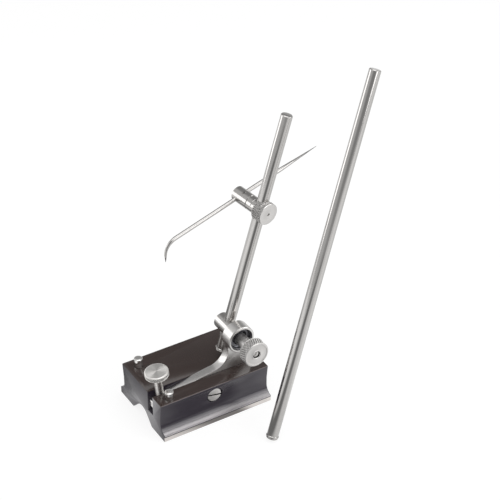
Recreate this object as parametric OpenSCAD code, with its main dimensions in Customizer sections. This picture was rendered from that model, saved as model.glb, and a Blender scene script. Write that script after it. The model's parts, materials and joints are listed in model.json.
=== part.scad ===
// Universal surface gauge: a grooved steel base with a rocking bracket, a swivelling spindle,
// a scriber clamp with its scriber, and a longer spare spindle that stands beside it.
// Millimetres. X runs along the base towards the spindle, Y to the far side, Z up.
// The origin is the centre of the footprint, on the plane that the base rests on.

/* [Base] */
// Length of the base
base_l = 99; // [90:0.5:110]
// Width across the top
top_w = 64.8; // [62:0.2:70]
// Width at the waist, below the top edge
waist_w = 61.4; // [60:0.2:62]
// Width over the feet
foot_w = 74.4; // [72:0.2:80]
// Height of the base
base_h = 33.1; // [31:0.1:36]
// Height at which the sides begin to lean out to the top edge
waist_z = 20; // [18:0.5:24]
// Radius of the cove above each foot
cove_r = 8; // [6:0.1:9]
// Height of the centre of the cove
cove_z = 13.5; // [12:0.1:15]
// Width of the vee groove at the resting plane
vee_w = 31; // [26:0.5:33]
// Radius of the rounded top of the vee groove
vee_r = 10.4; // [8:0.1:11]
// Small chamfer on the base's long edges
edge_cut = 0.6; // [0.3:0.1:1]

/* [Slot] */
// Sideways place of the slot's middle
slot_y = -14.4; // [-15.5:0.1:-13.5]
// Width of the slot
slot_w = 8; // [7.4:0.1:9]
// Depth of the slot's floor below the top
slot_deep = 18.5; // [17.1:0.1:19.6]
// Metal left between the slot and the right end
slot_stop = 4.5; // [3:0.5:6]

/* [Rocking bracket] */
// Side clearance of the bracket in its slot
bracket_gap = 0.2; // [0.1:0.05:0.4]
// Place of the pivot along the base
pivot_x = 0.3; // [-4:0.1:4]
// Depth of the pivot below the base's top
pivot_deep = 10.3; // [9:0.1:10.9]
// Radius of the bracket round the pivot
hub_r = 7.2; // [6.5:0.1:7.6]
// Distance of the tail's end from the base's left end
tail_in = 1.5; // [1:0.1:7]
// Depth of the tail's top below the base's top, at its end
tail_deep = 7.9; // [7:0.1:8.5]
// Thickness of the tail at its end
tail_t = 5.3; // [4.6:0.1:6.4]
// Height of the tail above the base's top where it leaves the slot
tail_rise_up = 0.6; // [0.2:0.1:1.6]
// Distance from the pivot to that place
tail_rise = 6.3; // [4:0.1:9]
// Radius of the sweep from the tail up to the ring
sweep_r = 15; // [12:0.5:16]
// Radius of the ring
ring_r = 11.8; // [11.4:0.1:13]
// Radius of the recess in the ring's near face
ring_recess_r = 10; // [9:0.1:10.4]
// Depth of that recess
ring_recess = 6; // [5:0.1:7]
// Thickness of the ring along its axis
ring_t = 11.4; // [10.8:0.1:12.5]

/* [Swivel and clamp knob] */
// Distance of the swivel's axis from the base's right end
swivel_in = 18.4; // [17.5:0.1:19.5]
// Height of the swivel's axis above the base's top
swivel_up = 26.9; // [25:0.1:31]
// Sideways place of the spindle
spindle_y = -0.4; // [-1:0.1:0]
// Lean of the spindle from upright, in degrees
spindle_lean = 16.72; // [0:0.5:30]
// Outer radius of the swivel sleeve
sleeve_r = 7.1; // [6.9:0.1:8]
// Radius of the swivel bolt's body
bolt_r = 5.95; // [5.8:0.05:6]
// Radius of the swivel bolt's threaded stem
stem_r = 3; // [2.5:0.1:3.4]
// Distance from the spindle's axis to the sleeve's far end
sleeve_far = 10.7; // [9:0.1:12]
// Radius of the knob's neck
neck_r = 5.1; // [4.5:0.1:6]
// Length of the knob's neck
neck_l = 16.6; // [12:0.1:18]
// Radius of the knob's knurled head
knob_r = 11; // [10:0.1:12]
// Thickness of the knob's knurled head
knob_t = 9; // [7:0.1:10]
// Thickness of the dished washer in the ring
washer_t = 3.2; // [2.8:0.1:4]

/* [Spindles] */
// Radius of both spindles
spindle_r = 4.75; // [4.5:0.05:4.8]
// Length of the mounted spindle
spindle_l = 211; // [180:1:240]
// Length of the mounted spindle below the swivel's axis
spindle_below = 23; // [21.5:0.1:24]
// Length of the spare spindle
spare_l = 305; // [250:1:305]
// Place of the spare spindle's foot along the base
spare_x = 24.4; // [20:0.1:30]
// Sideways place of the spare spindle's foot
spare_y = -78.5; // [-90:0.1:-60]
// Lean of the spare spindle towards the right, in degrees
spare_lean_x = 21.6; // [10:0.1:25]
// Lean of the spare spindle towards the far side, in degrees
spare_lean_y = 7.2; // [0:0.1:10]

/* [Adjusting screw] */
// Distance of the screw's head from the base's left end, to its middle
screw_in = 6.6; // [6:0.1:7.4]
// Height of the top of the screw's head above the base's top
screw_up = 21.1; // [17:0.1:25]
// Lean of the screw from upright, in degrees
screw_lean = 6; // [4:0.5:7]
// Radius of the shank under the head
shank_r = 3.2; // [2.9:0.05:3.5]
// Radius of the screw's thread in the tail
thread_r = 2.65; // [2.3:0.05:2.8]
// Radius of the knurled head
head_r = 9.7; // [8:0.1:11]
// Thickness of the knurled head
head_t = 4.5; // [3.5:0.1:6]
// Radius of the ball in the screw's tip
ball_r = 1.8; // [1.5:0.05:2]

/* [Pins and springs] */
// Radius of the gauge pins
pin_r = 3.175; // [2.8:0.05:3.3]
// Radius of the gauge pins' heads
pin_head_r = 3.6; // [3.5:0.05:4]
// Height of the gauge pins' tops above the base's top when they are up
pin_up = 8.8; // [7:0.1:11]
// How far the near gauge pin is pushed in
pin_near_down = 1.5; // [0:0.1:3]
// Distance of the far gauge pin from the left end
pin_far_in = 9.5; // [8:0.1:11]
// Distance of the near gauge pin from the left end
pin_near_in = 10.9; // [9:0.1:12]
// Sideways place of the far gauge pin
pin_far_y = 21.9; // [18:0.1:23]
// Sideways place of the near gauge pin
pin_near_y = -26.5; // [-26.6:0.1:-25]
// Radius of the lifting spring under the bracket
spring_r = 2.2; // [2:0.1:2.3]
// Radius of the lifting spring's wire
wire_r = 0.4; // [0.3:0.05:0.45]
// Turns of the lifting spring
spring_turns = 8; // [5:1:9]

/* [Scriber clamp] */
// Height of the clamp above the swivel, along the spindle
clamp_up = 106.7; // [60:0.1:150]
// Turn of the clamp about the spindle, in degrees
clamp_turn = 9; // [-30:1:30]
// Radius of the clamp's barrel
barrel_r = 6.4; // [6.3:0.05:7]
// Distance from the spindle's axis to the barrel's far end
barrel_far = 28.6; // [27:0.1:32]
// Distance from the spindle's axis to the scriber
scriber_back = 24.1; // [23.5:0.1:25]
// Length of the friction collar
collar_l = 5.8; // [4:0.1:7]
// Radius of the spigot that the scriber holder turns on
spigot_r = 3; // [2.6:0.1:3.2]
// Radius of the saddle round the spindle
saddle_r = 9.2; // [8.5:0.1:9.8]
// Chamfer at the saddle's back
saddle_edge = 1.6; // [0.6:0.1:2]
// Radius of the clamp nut
nut_r = 9.2; // [8.5:0.1:10]
// Thickness of the clamp nut
nut_t = 3.6; // [3:0.1:6]

/* [Scriber] */
// Radius of the scriber
scriber_r = 1.7; // [1.5:0.05:1.8]
// Rise of the scriber's straight point, in degrees
scriber_rise = 27.4; // [0:0.2:60]
// Length from the clamp to the needle point
scriber_point = 80.7; // [70:0.1:95]
// Length of the needle point's taper
taper_l = 38.7; // [20:0.1:45]
// Length from the clamp to the bend
scriber_tail = 66.6; // [55:0.1:75]
// Radius of the bend
bend_r = 12; // [9:0.5:14]
// Angle of the bend, in degrees
bend_a = 80; // [60:1:95]
// Length of the bent end's taper
hook_l = 6.8; // [5:0.1:10]
// Radius of both points
tip_r = 0.15; // [0.1:0.05:0.3]

/* [Hidden] */
// Fits and small sizes
run_gap = 0.05;      // running fit, radial
face_gap = 0.1;      // gap between faces that meet
cut = 1;             // overrun of every cut
bevel = 0.6;         // turned chamfers
thin_bevel = 0.35;   // chamfers on small turned pieces

// Base and slot
left_x = -base_l / 2;
slot_end_x = base_l / 2 - slot_stop;
slot_l = slot_end_x - left_x;
slot_z = base_h - slot_deep;
pivot_z = base_h - pivot_deep;
side_at_pivot = (waist_w + (top_w - waist_w) * (pivot_z - waist_z) / (base_h - waist_z)) / 2;

// Bracket
tail_x = left_x + tail_in;
tail_top_z = base_h - tail_deep;
tail_low_z = tail_top_z - tail_t;
tail_rise_z = base_h + tail_rise_up;
swivel_x = base_l / 2 - swivel_in;
swivel_z = base_h + swivel_up;
bracket_t = slot_w - 2 * bracket_gap;
bracket_far_y = slot_y + bracket_t / 2;
ring_near_y = bracket_far_y - ring_t;
recess_y = ring_near_y + ring_recess;
sweep_start_share = 0.764;    // of the hub's radius
sweep_lift = 1.9;             // rise of the top from the slot's edge to the sweep
sweep_x = pivot_x + sweep_start_share * hub_r;
sweep_z = tail_rise_z + sweep_lift + sweep_r;
web_share = 0.84;             // of the ring's radius

// Pivot screw
pivot_head_r = 6.2;
pivot_head_t = 2.4;
pivot_sink = 0.45;          // how far the head lies below the base's side
pivot_slot_w = 1.3;
pivot_slot_d = 1.1;
pivot_slot_turn = 12;       // degrees
pivot_ring_gap = 0.7;       // round the head, in its counterbore
pivot_body_r = 4;
pivot_thread_r = 3;
pivot_thread_l = 7;
counterbore_r = pivot_head_r + pivot_ring_gap;
head_seat_y = -side_at_pivot + pivot_sink + pivot_head_t;

// Adjusting screw
screw_x = left_x + screw_in;
screw_top_z = base_h + screw_up;
ball_z = slot_z + face_gap + ball_r;
screw_l = (screw_top_z - ball_z) / cos(screw_lean);
shank_clear = 4.7;            // height of the shank's shoulder over the tail's end
thread_l = (tail_top_z + shank_clear - ball_z) / cos(screw_lean);
socket_deep = ball_r + run_gap;
ball_out = 0.25;            // how far the screw's end stops above the ball's middle
head_neck_r = 3.6;
head_neck_l = 0.8;

// Gauge pins
pin_far_x = left_x + pin_far_in;
pin_near_x = left_x + pin_near_in;
pin_top_z = base_h + pin_up;
pin_foot_gap = 0.6;         // between the near pin's foot and the resting plane
pin_foot_z = pin_near_down + pin_foot_gap;
pin_head_l = 2.4;
pin_crown = 0.9;            // rise of the domed head
bow_w = 2;                  // width of the bow spring in each pin
bow_t = 0.3;
bow_l = 14;
bow_rise = 0.8;
bow_slot_l = 16;
bow_z = base_h / 2;
bow_radius = (bow_l * bow_l / 4 + bow_rise * bow_rise) / (2 * bow_rise);
bow_crown = sqrt(pin_r * pin_r - bow_w * bow_w / 4);    // its outermost face, from the pin's axis
bow_fine = 360;

// Lifting spring
spring_out = 21.7;          // from the pivot, along the base
spring_sink = 7.6;          // how deep the pocket lies in the slot's floor
spring_roof_up = 1.6;       // height of its roof in the bracket over the pivot
spring_x = pivot_x + spring_out;
spring_pocket_gap = 0.25;
bracket_pocket_gap = 0.45;    // wider, because the bracket rocks
spring_pocket_r = spring_r + wire_r + spring_pocket_gap;
bracket_pocket_r = spring_r + wire_r + bracket_pocket_gap;
spring_floor_z = slot_z - spring_sink;
spring_roof_z = pivot_z + spring_roof_up;
spring_l = spring_roof_z - spring_floor_z - 2 * face_gap;
rings_per_turn = 8;
wire_sides = 6;
spring_closed_share = 0.03;   // share of the turns that lies flat at each end

// Swivel
sleeve_near = spindle_y - bracket_far_y - face_gap;
shoulder_in = 1.6;          // how far the bolt's shoulder lies inside the ring
bolt_shoulder_y = recess_y + shoulder_in;
washer_y = recess_y - washer_t;
neck_y = washer_y - face_gap;
knob_back_y = neck_y - neck_l;
knob_front_y = knob_back_y - knob_t;
stem_sink = 0.7;            // how far the stem's end lies inside the knob's front
stem_end_y = knob_front_y + stem_sink;
stem_dome = 1;
knob_rim_share = 0.86;      // of the knob's radius, as the next three
knob_face_share = 0.84;
knob_boss_foot_share = 0.38;
knob_boss_share = 0.36;
dish_lift_share = 0.1;      // of the dish's radius
key_r = 0.95;
key_y = 1.9;                // along the sleeve, from the spindle
key_sink = 0.8;             // how far its end lies inside the sleeve
key_end = sleeve_r - key_sink;
key_foot = spindle_r / cos(spindle_lean) + 2 * run_gap;

// Spindles
groove_deep = 0.55;
stop_proud = 0.45;          // how far the ring stands out from the rod
groove_r = spindle_r - groove_deep;
groove_z = 1.6;
groove_w = 1.5;
stop_r = spindle_r + stop_proud;
stop_t = groove_w - 2 * run_gap;
spare_dir = [sin(spare_lean_x), sin(spare_lean_y),
             sqrt(1 - pow(sin(spare_lean_x), 2) - pow(sin(spare_lean_y), 2))];
spare_tilt = acos(spare_dir[2]);
spare_heading = atan2(spare_dir[1], spare_dir[0]);
foot_gap = 0.02;            // between the spare spindle's foot and the resting plane
spare_z = (spindle_r - bevel) * sin(spare_tilt) + foot_gap;

// Scriber clamp, measured along its own axis from the spindle, towards the nut
eye_far_wall = 0.85;
eye_near_wall = 0.95;
eye_far = spindle_r + eye_far_wall;
eye_near = spindle_r + eye_near_wall;
saddle_back = 2;
collar_far = eye_far + collar_l + 2 * face_gap;
spigot_short = 1.9;         // wall between the spigot's end and the scriber
spigot_end = scriber_back - scriber_r - spigot_short;
thrust_r = 1.25;
stud_r = 2.9;
nut_back = eye_near + face_gap;
nut_hole_r = 1.2;
holder_pin_r = 0.8;
holder_pin_back = 18.6;
holder_slot_w = 1.2;
holder_slot_d = 0.75;
hook_root = 0.3;            // how far the bent end's taper starts inside the bend
hook_step = 0.02;

// Facets of the turned surfaces
$fn = 64;
fine = 96;
dome_step = 15;             // degrees between the points of a domed end

black_steel = "#4d4542";
polished = "#c9c7c4";
turned = "#bdb9b3";
dark_glossy = "#2b2a2c";
spring_steel = "#8d8f94";

// A round bar along Y, from y0 to y1
module bar_y(y0, y1, r) {
  translate([0, y1, 0]) rotate([90, 0, 0]) cylinder(h = y1 - y0, r = r);
}

// A turned piece along -Y: its profile's points are [radius, distance towards the viewer]
module turned_y(y0, points, fn = $fn) {
  translate([0, y0, 0]) rotate([90, 0, 0]) rotate_extrude($fn = fn) polygon(points);
}

// The outline of a domed end: from radius r at height z to the axis, h higher
function dome(r, z, h) = [for (a = [0 : dome_step : 90]) [r * cos(a), z + h * sin(a)]];

// Places its children at the swivel's axis
module at_swivel() {
  translate([swivel_x, 0, swivel_z]) children();
}

// Places its children on the spindle's axis: Z along the spindle, zero at the swivel's axis
module at_spindle() {
  translate([swivel_x, spindle_y, swivel_z]) rotate([0, spindle_lean, 0]) children();
}

// Places its children on the scriber clamp's axis: Z towards the nut, Y up along the spindle
module at_clamp() {
  at_spindle() translate([0, 0, clamp_up]) rotate([90, 0, clamp_turn]) children();
}

// Places its children on the scriber: X towards its needle point
module at_scriber() {
  at_clamp() translate([0, 0, -scriber_back]) rotate([0, 0, scriber_rise]) children();
}

// Places its children on the adjusting screw's axis: Z up, zero at the middle of its ball
module at_screw() {
  translate([screw_x, slot_y, screw_top_z]) rotate([0, -screw_lean, 0])
    translate([0, 0, -screw_l]) children();
}

// Places its children on the spare spindle's axis: Z along it, zero at its low end
module at_spare() {
  translate([spare_x, spare_y, spare_z]) rotate([0, spare_tilt, spare_heading]) children();
}

// The base's cross-section: leaning sides, a cove above each foot and the vee groove
module base_section() {
  difference() {
    polygon([[-foot_w / 2 + edge_cut, 0], [foot_w / 2 - edge_cut, 0], [foot_w / 2, edge_cut],
             [foot_w / 2, cove_z], [waist_w / 2, cove_z], [waist_w / 2, waist_z],
             [top_w / 2, base_h - edge_cut], [top_w / 2 - edge_cut, base_h],
             [-top_w / 2 + edge_cut, base_h], [-top_w / 2, base_h - edge_cut],
             [-waist_w / 2, waist_z], [-waist_w / 2, cove_z], [-foot_w / 2, cove_z],
             [-foot_w / 2, edge_cut]]);
    for (side = [-1, 1])
      translate([side * (waist_w / 2 + cove_r), cove_z]) circle(r = cove_r, $fn = fine);
    vee_section();
  }
}

// The vee groove: flanks at 45 degrees that run tangent into a round top
module vee_section() {
  half = vee_w / 2;
  round_z = half - vee_r * sqrt(2);
  touch = vee_r / sqrt(2);
  polygon([[-half - cut, -cut], [half + cut, -cut], [touch, half - touch], [-touch, half - touch]]);
  translate([0, round_z]) circle(r = vee_r, $fn = fine);
}

// Machined base: slot for the bracket, pivot bore, gauge-pin holes and the spring's pocket
module base() {
  color(black_steel) difference() {
    rotate([90, 0, 90]) translate([0, 0, left_x]) linear_extrude(base_l) base_section();
    translate([left_x - cut, slot_y - slot_w / 2, slot_z])
      cube([slot_l + cut, slot_w, base_h]);
    translate([pivot_x, 0, pivot_z]) {
      bar_y(-side_at_pivot - 2 * cut, head_seat_y, counterbore_r);
      bar_y(-side_at_pivot, slot_y, pivot_body_r + run_gap);
      bar_y(slot_y, slot_y + slot_w / 2 + pivot_thread_l, pivot_thread_r + run_gap);
    }
    for (place = [[pin_far_x, pin_far_y], [pin_near_x, pin_near_y]])
      translate([place.x, place.y, -cut]) cylinder(h = base_h + 2 * cut, r = pin_r + run_gap);
    translate([spring_x, slot_y, spring_floor_z]) cylinder(h = base_h, r = spring_pocket_r);
  }
}

// The bracket's outline seen from the near side
module bracket_outline() {
  right_x = swivel_x + web_share * ring_r;
  low_z = pivot_z - hub_r;
  difference() {
    union() {
      polygon([[tail_x, tail_low_z], [pivot_x, low_z], [sweep_x, low_z], [sweep_x, sweep_z - sweep_r],
               [pivot_x - tail_rise, tail_rise_z], [tail_x + bevel, tail_top_z],
               [tail_x, tail_top_z - bevel]]);
      polygon([[sweep_x, low_z], [right_x, tail_low_z], [swivel_x + ring_r - bevel, swivel_z],
               [sweep_x + sweep_r, swivel_z], [sweep_x + sweep_r, sweep_z], [sweep_x, sweep_z]]);
    }
    translate([sweep_x, sweep_z]) circle(r = sweep_r, $fn = fine);
  }
  translate([pivot_x, pivot_z]) circle(r = hub_r);
}

// Rocking bracket: tail in the slot, hub on the pivot, web and ring for the swivel
module rocking_bracket() {
  color(polished) difference() {
    union() {
      translate([0, bracket_far_y, 0]) rotate([90, 0, 0]) linear_extrude(bracket_t) bracket_outline();
      at_swivel() turned_y(bracket_far_y,
        [[0, 0], [ring_r - thin_bevel, 0], [ring_r, thin_bevel], [ring_r, ring_t - bevel],
         [ring_r - bevel, ring_t], [0, ring_t]], fine);
    }
    translate([pivot_x, 0, pivot_z]) bar_y(slot_y - slot_w, slot_y + slot_w, pivot_body_r + run_gap);
    at_swivel() {
      bar_y(ring_near_y - cut, bracket_far_y + cut, bolt_r + run_gap);
      bar_y(ring_near_y - cut, recess_y, ring_recess_r);
    }
    at_screw() cylinder(h = screw_l, r = thread_r + run_gap);
    translate([spring_x, slot_y, 0]) cylinder(h = spring_roof_z, r = bracket_pocket_r);
  }
}

// Slotted shoulder screw that the bracket rocks on
module pivot_screw() {
  color(turned) translate([pivot_x, 0, pivot_z]) difference() {
    turned_y(slot_y + slot_w / 2 + pivot_thread_l - face_gap, let (
        thread = pivot_thread_l - face_gap,
        body = slot_y + slot_w / 2 - head_seat_y,
        head = thread + body + pivot_head_t)
      [[0, 0], [pivot_thread_r - thin_bevel, 0], [pivot_thread_r, thin_bevel], [pivot_thread_r, thread],
       [pivot_body_r, thread], [pivot_body_r, thread + body], [pivot_head_r, thread + body],
       [pivot_head_r, head - thin_bevel], [pivot_head_r - thin_bevel, head], [0, head]]);
    rotate([0, pivot_slot_turn, 0])
      translate([-pivot_head_r, head_seat_y - pivot_head_t - cut, -pivot_slot_w / 2])
        cube([2 * pivot_head_r, pivot_slot_d + cut, pivot_slot_w]);
  }
}

// A point on the spring's wire axis, for a share u of its length
function rise(u) = u < spring_closed_share ? 0
  : u > 1 - spring_closed_share ? 1
  : (u - spring_closed_share) / (1 - 2 * spring_closed_share);
function spring_point(u) = [spring_r * cos(360 * spring_turns * u), spring_r * sin(360 * spring_turns * u),
                            wire_r + (spring_l - 2 * wire_r) * rise(u)];
function wire_point(u, side) = let (a = 360 * side / wire_sides, around = 360 * spring_turns * u)
  spring_point(u) + wire_r * [cos(a) * cos(around), cos(a) * sin(around), sin(a)];
spring_rings = spring_turns * rings_per_turn;
spring_gap = min([for (i = [0 : spring_rings - rings_per_turn])
  norm(spring_point((i + rings_per_turn) / spring_rings) - spring_point(i / spring_rings)) - 2 * wire_r]);
echo(least_gap_between_curls = spring_gap);

// Compression spring in its pocket, which lifts the spindle's side of the bracket
module lifting_spring() {
  points = [for (i = [0 : spring_rings], j = [0 : wire_sides - 1]) wire_point(i / spring_rings, j)];
  walls = [for (i = [0 : spring_rings - 1], j = [0 : wire_sides - 1])
    let (a = i * wire_sides + j, b = i * wire_sides + (j + 1) % wire_sides)
      each [[a, a + wire_sides, b], [b, a + wire_sides, b + wire_sides]]];
  last = spring_rings * wire_sides;
  caps = [for (j = [1 : wire_sides - 2]) each [[0, j, j + 1], [last, last + j + 1, last + j]]];
  color(spring_steel) translate([spring_x, slot_y, spring_floor_z + face_gap])
    polyhedron(points, concat(walls, caps));
}

// Adjusting screw with its knurled head; its tip holds the ball
module adjusting_screw() {
  top = screw_l;
  color(turned) at_screw() rotate_extrude($fn = fine)
    polygon([[0, socket_deep], [ball_r + run_gap, socket_deep], [ball_r + run_gap, ball_out],
             [thread_r - thin_bevel, ball_out], [thread_r, ball_out + thin_bevel],
             [thread_r, thread_l], [shank_r, thread_l],
             [shank_r, top - head_t - head_neck_l], [head_neck_r, top - head_t - head_neck_l],
             [head_neck_r, top - head_t], [head_r - bevel, top - head_t], [head_r, top - head_t + bevel],
             [head_r, top - bevel], [head_r - bevel, top], [0, top]]);
}

// Hard ball that carries the screw on the slot's floor
module thrust_ball() {
  color(polished) at_screw() sphere(r = ball_r);
}

// Gauge pin with a domed head and a slot for its bow spring, pushed in by a distance
module gauge_pin(x, y, down) {
  head_z = pin_top_z - pin_crown;
  color(polished) translate([x, y, -down]) difference() {
    rotate_extrude()
      polygon([[0, pin_foot_z], [pin_r - bevel, pin_foot_z], [pin_r, pin_foot_z + bevel],
               [pin_r, head_z - pin_head_l], [pin_head_r, head_z - pin_head_l],
               each dome(pin_head_r, head_z, pin_crown)]);
    translate([bow_crown - bow_rise - bow_t - run_gap, -bow_w / 2 - run_gap, bow_z - bow_slot_l / 2])
      cube([pin_r, bow_w + 2 * run_gap, bow_slot_l]);
  }
}

module gauge_pin_far() { gauge_pin(pin_far_x, pin_far_y, 0); }
module gauge_pin_near() { gauge_pin(pin_near_x, pin_near_y, pin_near_down); }

// Flat bow spring that holds a gauge pin by friction
module bow_spring(x, y, down) {
  color(spring_steel) translate([x + bow_crown - bow_radius, y + bow_w / 2, bow_z - down])
    rotate([90, 0, 0]) linear_extrude(bow_w) intersection() {
      difference() {
        circle(r = bow_radius, $fn = bow_fine);
        circle(r = bow_radius - bow_t, $fn = bow_fine);
      }
      translate([0, -bow_l / 2]) square([bow_radius + cut, bow_l]);
    }
}

module bow_spring_far() { bow_spring(pin_far_x, pin_far_y, 0); }
module bow_spring_near() { bow_spring(pin_near_x, pin_near_y, pin_near_down); }

// Swivel sleeve that the spindle passes through
module swivel_sleeve() {
  color(polished) difference() {
    at_swivel() difference() {
      turned_y(spindle_y + sleeve_far, let (l = sleeve_far + sleeve_near)
        [[bolt_r + run_gap, 0], [sleeve_r - bevel, 0], [sleeve_r, bevel],
         [sleeve_r, l - thin_bevel], [sleeve_r - thin_bevel, l], [bolt_r + run_gap, l]], fine);
      translate([0, spindle_y + key_y, 0]) rotate([0, -90, 0])
        cylinder(h = sleeve_r + cut, r = key_r + run_gap);
    }
    at_spindle() translate([0, 0, -2 * sleeve_r]) cylinder(h = 4 * sleeve_r, r = spindle_r + run_gap);
  }
}

// Swivel bolt: the spindle's cross hole, the bearing in the ring and the threaded stem
module swivel_bolt() {
  color(turned) difference() {
    at_swivel() difference() {
      turned_y(spindle_y + sleeve_far, let (
          body = spindle_y + sleeve_far - bolt_shoulder_y,
          end = spindle_y + sleeve_far - stem_end_y)
        [[0, 0], [bolt_r - bevel, 0], [bolt_r, bevel], [bolt_r, body], [stem_r, body],
         each dome(stem_r, end - stem_dome, stem_dome)], fine);
      translate([0, spindle_y + key_y, 0]) rotate([0, -90, 0])
        cylinder(h = sleeve_r, r = key_r + run_gap);
    }
    at_spindle() translate([0, 0, -2 * sleeve_r]) cylinder(h = 4 * sleeve_r, r = spindle_r + run_gap);
  }
}

// Small pin that keeps the sleeve in line with the bolt
module sleeve_key() {
  color(dark_glossy) at_swivel() translate([0, spindle_y + key_y, 0]) rotate([0, -90, 0])
    translate([0, 0, key_foot]) cylinder(h = key_end - key_foot, r = key_r);
}

// Dished washer in the ring's recess, between the ring and the knob's neck
module dished_washer() {
  outer = ring_recess_r - face_gap;
  dish_r = (outer - neck_r) / 2 - bevel / 2;
  color(dark_glossy) at_swivel() translate([0, recess_y - face_gap / 2, 0]) rotate([90, 0, 0])
    rotate_extrude($fn = fine) difference() {
      translate([stem_r + run_gap, 0]) square([outer - stem_r - run_gap, washer_t - face_gap / 2]);
      translate([outer - dish_r - bevel, washer_t + dish_lift_share * dish_r]) circle(r = dish_r);
    }
}

// Clamp knob: a smooth neck, a knurled head and a recessed front round the stem
module clamp_knob() {
  l = neck_l + knob_t;
  color(turned) at_swivel() turned_y(neck_y,
    [[stem_r + run_gap, 0], [neck_r - thin_bevel, 0], [neck_r, thin_bevel], [neck_r, neck_l],
     [knob_r - bevel, neck_l], [knob_r, neck_l + bevel], [knob_r, l - bevel], [knob_r - bevel, l],
     [knob_rim_share * knob_r, l], [knob_face_share * knob_r, l - thin_bevel],
     [knob_boss_foot_share * knob_r, l - thin_bevel], [knob_boss_share * knob_r, l],
     [stem_r + bevel, l], [stem_r + run_gap, l - bevel]], fine);
}

// A plain ground rod with a groove for its stop ring near the low end
module ground_rod(l) {
  rotate_extrude($fn = fine)
    polygon([[0, 0], [spindle_r - bevel, 0], [spindle_r, bevel], [spindle_r, groove_z],
             [groove_r, groove_z], [groove_r, groove_z + groove_w], [spindle_r, groove_z + groove_w],
             [spindle_r, l - bevel], [spindle_r - bevel, l], [0, l]]);
}

// Ring in that groove, which stops the rod from being drawn out of its sleeve
module stop_ring() {
  translate([0, 0, groove_z + run_gap]) rotate_extrude($fn = fine)
    polygon([[groove_r + run_gap, 0], [stop_r - thin_bevel, 0], [stop_r, thin_bevel],
             [stop_r, stop_t - thin_bevel], [stop_r - thin_bevel, stop_t], [groove_r + run_gap, stop_t]]);
}

module spindle() {
  color(polished) at_spindle() translate([0, 0, -spindle_below]) ground_rod(spindle_l);
}

module spindle_stop_ring() {
  color(polished) at_spindle() translate([0, 0, -spindle_below]) stop_ring();
}

module spare_spindle() { color(polished) at_spare() ground_rod(spare_l); }
module spare_stop_ring() { color(polished) at_spare() stop_ring(); }

// The spindle's hole across the scriber clamp
module spindle_hole(r) {
  rotate([90, 0, 0]) translate([0, 0, -2 * saddle_r]) cylinder(h = 4 * saddle_r, r = r);
}

// Eye that slides on the spindle, with the spigot for the scriber holder and the nut's stud
module spindle_eye() {
  color(turned) at_clamp() difference() {
    union() {
      translate([0, 0, -eye_far]) cylinder(h = eye_far + eye_near, r = barrel_r);
      translate([0, 0, eye_near - cut]) cylinder(h = nut_t - bevel + cut, r = stud_r);
      translate([0, 0, -spigot_end]) difference() {
        cylinder(h = spigot_end - eye_far + cut, r = spigot_r);
        translate([0, 0, spigot_end - holder_pin_back - holder_pin_r - run_gap]) difference() {
          cylinder(h = 2 * (holder_pin_r + run_gap), r = spigot_r + cut);
          translate([0, 0, -cut]) cylinder(h = 2 * holder_pin_r + 2 * cut, r = spigot_r - bevel);
        }
      }
    }
    spindle_hole(spindle_r + run_gap);
    translate([0, 0, -spigot_end - cut]) cylinder(h = spigot_end + cut, r = thrust_r + run_gap);
  }
}

// Saddle: a sleeve on the eye that straddles the spindle and is pressed on it by the nut
module clamp_saddle() {
  color(turned) at_clamp() difference() {
    translate([0, 0, -saddle_back]) rotate_extrude($fn = fine)
      polygon([[barrel_r + run_gap, 0], [saddle_r - saddle_edge, 0], [saddle_r, saddle_edge],
               [saddle_r, saddle_back + eye_near], [barrel_r + run_gap, saddle_back + eye_near]]);
    spindle_hole(spindle_r + 2 * run_gap);
    translate([-spindle_r - 2 * run_gap, -2 * saddle_r, -2 * saddle_r])
      cube([2 * spindle_r + 4 * run_gap, 4 * saddle_r, 2 * saddle_r]);
  }
}

// Knurled nut with a small centre hole
module clamp_nut() {
  bored = nut_t - bevel;
  color(turned) at_clamp() translate([0, 0, nut_back]) rotate_extrude($fn = fine)
    polygon([[stud_r + run_gap, 0], [nut_r - bevel, 0], [nut_r, bevel], [nut_r, nut_t - bevel],
             [nut_r - bevel, nut_t], [nut_hole_r, nut_t], [nut_hole_r, bored], [stud_r + run_gap, bored]]);
}

// Collar between the eye and the scriber holder
module friction_collar() {
  color(polished) at_clamp() translate([0, 0, -eye_far - face_gap - collar_l])
    rotate_extrude($fn = fine)
      polygon([[spigot_r + run_gap, 0], [barrel_r - thin_bevel, 0], [barrel_r, thin_bevel],
               [barrel_r, collar_l - thin_bevel], [barrel_r - thin_bevel, collar_l],
               [spigot_r + run_gap, collar_l]]);
}

// Pin inside the spigot that passes the spindle's push on to the scriber
module thrust_pin() {
  from = scriber_back - scriber_r - face_gap;
  color(spring_steel) at_clamp() translate([0, 0, -from])
    cylinder(h = from - spindle_r - face_gap, r = thrust_r);
}

// Scriber holder, which turns on the spigot and takes the scriber across it
module scriber_holder() {
  l = barrel_far - collar_far;
  color(turned) difference() {
    at_clamp() translate([0, 0, -barrel_far]) rotate_extrude($fn = fine)
      polygon([[0, 0], [barrel_r - bevel, 0], [barrel_r, bevel], [barrel_r, l - thin_bevel],
               [barrel_r - thin_bevel, l], [0, l]]);
    at_clamp() translate([0, 0, -spigot_end - face_gap]) cylinder(h = spigot_end, r = spigot_r + run_gap);
    at_clamp() translate([0, 0, -scriber_back]) cylinder(h = spigot_end, r = thrust_r + run_gap);
    at_scriber() rotate([0, 90, 0]) translate([0, 0, -2 * barrel_r])
      cylinder(h = 4 * barrel_r, r = scriber_r + run_gap);
    at_scriber() translate([0, 0, scriber_back - holder_pin_back]) {
      rotate([-90, 0, 0]) cylinder(h = barrel_r + cut, r = holder_pin_r + run_gap);
      translate([-barrel_r, barrel_r - holder_slot_d, -holder_slot_w / 2])
        cube([2 * barrel_r, barrel_r, holder_slot_w]);
    }
  }
}

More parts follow.
